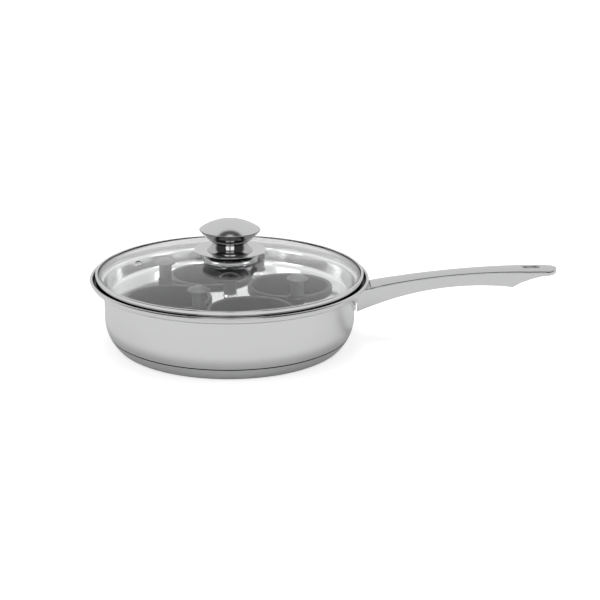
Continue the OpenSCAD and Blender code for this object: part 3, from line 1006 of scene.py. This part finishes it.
def foot_profile():
    outline = [(SHANK_R, FOOT_Z + 2), (FOOT_R - 3, FOOT_Z + 2), (FOOT_R - 3, FOOT_Z), (FOOT_R, FOOT_Z, 0.3)]
    (hollow_x, hollow_z), r = FOOT_HOLLOW, FOOT_HOLLOW_R
    low = degrees(asin((FOOT_Z + 0.5 - hollow_z) / r))
    high = degrees(asin((NECK_Z - hollow_z) / r))
    side = [(hollow_x - r * cos(radians(a)), hollow_z + r * sin(radians(a)))
            for a in [low + (high - low) * k / 14 for k in range(15)]]
    outline += [p for p in side if p[0] <= FOOT_R]
    outline += [(SHANK_R, NECK_Z)]
    return outline


def backplate_profile():
    top, edge_r = CROWN_Z - GLASS_T - 1.2, BACKPLATE_H / 2
    outline = [(3.2, top), (21, top)]
    outline += arc(21, top - edge_r, edge_r, 90, -90, 16)
    outline += [(9, top - BACKPLATE_H, 0.3), (9, top - 5), (3.2, top - 5)]
    return outline


knob_foot = turned("knob_foot_vis", foot_profile(), segments=256)
# The darker tone of the foot's and backplate's steel is painted dark reflection.
dress(knob_foot, KNOB_STEEL_PAINTED_DARKER, "lid", "knob_foot")

saucer = turned("knob_saucer_vis", [
    (3.1, SAUCER_Z), (FOOT_R, SAUCER_Z, 1.0), (32.4, SAUCER_Z + 1.0, 0.2),
    (32.4, SAUCER_Z + 1.0 + SAUCER_T, 0.3), (FOOT_R, SAUCER_Z + SAUCER_T, 1.0),
    (3.1, SAUCER_Z + SAUCER_T)], segments=256)
dress(saucer, TRIM_STEEL, "lid", "knob_saucer")

backplate = turned("knob_backplate_vis", backplate_profile())
dress(backplate, KNOB_STEEL_PAINTED_DARKER, "lid", "knob_backplate")

# %% [markdown]
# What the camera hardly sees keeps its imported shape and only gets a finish: the disc in the base, the
# bracket behind the handle, the screws and the seals.

# %% Hidden pieces
HIDDEN = {
    "base_core": CORE_METAL, "handle_bracket": WALL_STEEL, "tray_knob_screw": TRIM_STEEL,
    "tray_knob_washer": TRIM_STEEL, "lid_gasket": SEAL_RUBBER, "knob_upper_gasket": SEAL_RUBBER,
    "knob_lower_gasket": SEAL_RUBBER, "knob_screw": TRIM_STEEL,
    "cup_screw_1": TRIM_STEEL, "cup_screw_2": TRIM_STEEL, "cup_screw_3": TRIM_STEEL,
    "cup_screw_4": TRIM_STEEL,
}
for node_name, material in HIDDEN.items():
    node_mesh = nodes[node_name].data
    node_mesh.materials.clear()
    node_mesh.materials.append(material)
print("hidden", len(HIDDEN))

# %% [markdown]
# Polished steel shows its surroundings more than itself, so the studio is part of the material. The floor
# is matt and takes the shadow. It glows a little, but only for the camera and through glass, so that it
# comes out white without lighting the pan from below. Three soft lamps light it, unseen in the metal.

# %% Floor and lamps
FLOOR_TONE = (0.64, 0.64, 0.64)
FLOOR_GLOW = 0.60
FLOOR_HALF = 6
FLOOR_DOWN = 0.0002


def floor_material():
    material = bpy.data.materials.new("floor_white")
    material.use_nodes = True
    tree = material.node_tree
    tree.nodes.clear()
    number = number_maker(tree)
    path = tree.nodes.new("ShaderNodeLightPath").outputs
    seen = number("MAXIMUM", path["Is Camera Ray"], path["Is Transmission Ray"])
    matt = tree.nodes.new("ShaderNodeBsdfDiffuse")
    matt.inputs["Color"].default_value = (*FLOOR_TONE, 1)
    glow = tree.nodes.new("ShaderNodeEmission")
    tree.links.new(number("MULTIPLY", seen, FLOOR_GLOW), glow.inputs["Strength"])
    both = tree.nodes.new("ShaderNodeAddShader")
    tree.links.new(matt.outputs[0], both.inputs[0])
    tree.links.new(glow.outputs[0], both.inputs[1])
    out = tree.nodes.new("ShaderNodeOutputMaterial")
    tree.links.new(both.outputs[0], out.inputs[0])
    return material


def lay_floor():
    mesh = bpy.data.meshes.new("floor")
    corners = [(x * FLOOR_HALF, y * FLOOR_HALF, -FLOOR_DOWN) for x, y in ((-1, -1), (1, -1), (1, 1), (-1, 1))]
    mesh.from_pydata([Vector(c) for c in corners], [], [tuple(range(len(corners)))])
    mesh.materials.append(floor_material())
    obj = bpy.data.objects.new("floor", mesh)
    bpy.context.scene.collection.objects.link(obj)


def soft_light(name, place, target, width, height, watts):
    data = bpy.data.lights.new(name, "AREA")
    data.shape = "RECTANGLE"
    data.size = width
    data.size_y = height
    data.energy = watts
    lamp = bpy.data.objects.new(name, data)
    lamp.visible_glossy = False
    bpy.context.scene.collection.objects.link(lamp)
    lamp.location = place
    lamp.rotation_euler = (Vector(target) - Vector(place)).to_track_quat("-Z", "Y").to_euler()


lay_floor()
soft_light("top_light", (0.0, 0.1, 1.8), (0, 0, 0), 1.0, 0.7, 12)
soft_light("left_light", (-1.6, -0.7, 0.9), (0, 0, 0.03), 0.8, 1.2, 7)
soft_light("right_light", (1.7, -0.5, 0.8), (0, 0, 0.03), 0.7, 1.2, 6)
print("lamps", len(bpy.data.lights))

# %% [markdown]
# What the metal mirrors is drawn in the world by angle: a pale wall behind the pan, two tall soft boxes
# beside the camera and a ceiling, with dark gaps between them. The gaps give the edges their black lines.
# The boxes could be lit cards, but drawn in the world they show only in the metal's reflections.

# %% World
STUDIO_GREY = (0.8, 0.8, 0.8, 1)
PLAIN_GREY = (0.72, 0.72, 0.72, 1)
PALE_WALL, BOXES, CEILING, GAPS = 0.80, 1.6, 1.0, 0.06


def background(tree, colour):
    node = tree.nodes.new("ShaderNodeBackground")
    node.inputs["Color"].default_value = colour
    return node


def mix_shaders(tree, mask, first, second):
    node = tree.nodes.new("ShaderNodeMixShader")
    for socket, source in zip(node.inputs, (mask, first, second)):
        tree.links.new(source, socket)
    return node.outputs[0]


def light_world():
    """White for the camera and through glass; for reflections, a studio with soft boxes and dark gaps."""
    world = bpy.data.worlds.new("studio")
    bpy.context.scene.world = world
    world.use_nodes = True
    tree = world.node_tree
    tree.nodes.clear()
    number = number_maker(tree)

    def step_up(value, at, soft):
        """0 below the angle, 1 above it, with a soft edge."""
        node = tree.nodes.new("ShaderNodeMapRange")
        node.interpolation_type = "SMOOTHSTEP"
        tree.links.new(value, node.inputs["Value"])
        node.inputs["From Min"].default_value = at - soft
        node.inputs["From Max"].default_value = at + soft
        return node.outputs[0]

    def below(value, at, soft):
        return number("SUBTRACT", 1.0, step_up(value, at, soft))

    def within(value, low, high, soft):
        return number("MULTIPLY", step_up(value, low, soft), below(value, high, soft))

    place = tree.nodes.new("ShaderNodeTexCoord")
    split = tree.nodes.new("ShaderNodeSeparateXYZ")
    tree.links.new(place.outputs["Generated"], split.inputs[0])
    rise = number("MULTIPLY", number("ARCSINE", split.outputs["Z"]), 180 / pi)
    front = number("MULTIPLY", split.outputs["Y"], -1.0)
    side = number("MULTIPLY", number("ARCTAN2", split.outputs["X"], front), 180 / pi)
    away = number("ABSOLUTE", side)
    wall = number("MULTIPLY", step_up(away, 100, 14), below(rise, 68, 2))
    boxes = number("MULTIPLY", within(away, 3.5, 27, 1.5), within(rise, 14, 46, 2.0))
    ceiling = number("MULTIPLY", step_up(rise, 82, 1.5), CEILING)
    total = number("ADD", number("MULTIPLY", wall, PALE_WALL), number("MULTIPLY", boxes, BOXES))
    total = number("ADD", number("ADD", total, ceiling), GAPS)
    studio = background(tree, STUDIO_GREY)
    tree.links.new(total, studio.inputs["Strength"])
    path = tree.nodes.new("ShaderNodeLightPath").outputs
    mirrored = mix_shaders(tree, path["Is Glossy Ray"], background(tree, PLAIN_GREY).outputs[0],
                           studio.outputs[0])
    seen = number("MAXIMUM", path["Is Camera Ray"], path["Is Transmission Ray"])
    out = tree.nodes.new("ShaderNodeOutputWorld")
    tree.links.new(mix_shaders(tree, seen, mirrored, background(tree, (1, 1, 1, 1)).outputs[0]),
                   out.inputs[0])
    return world


print("world nodes", len(light_world().node_tree.nodes))
bpy.context.scene.view_settings.view_transform = "Standard"
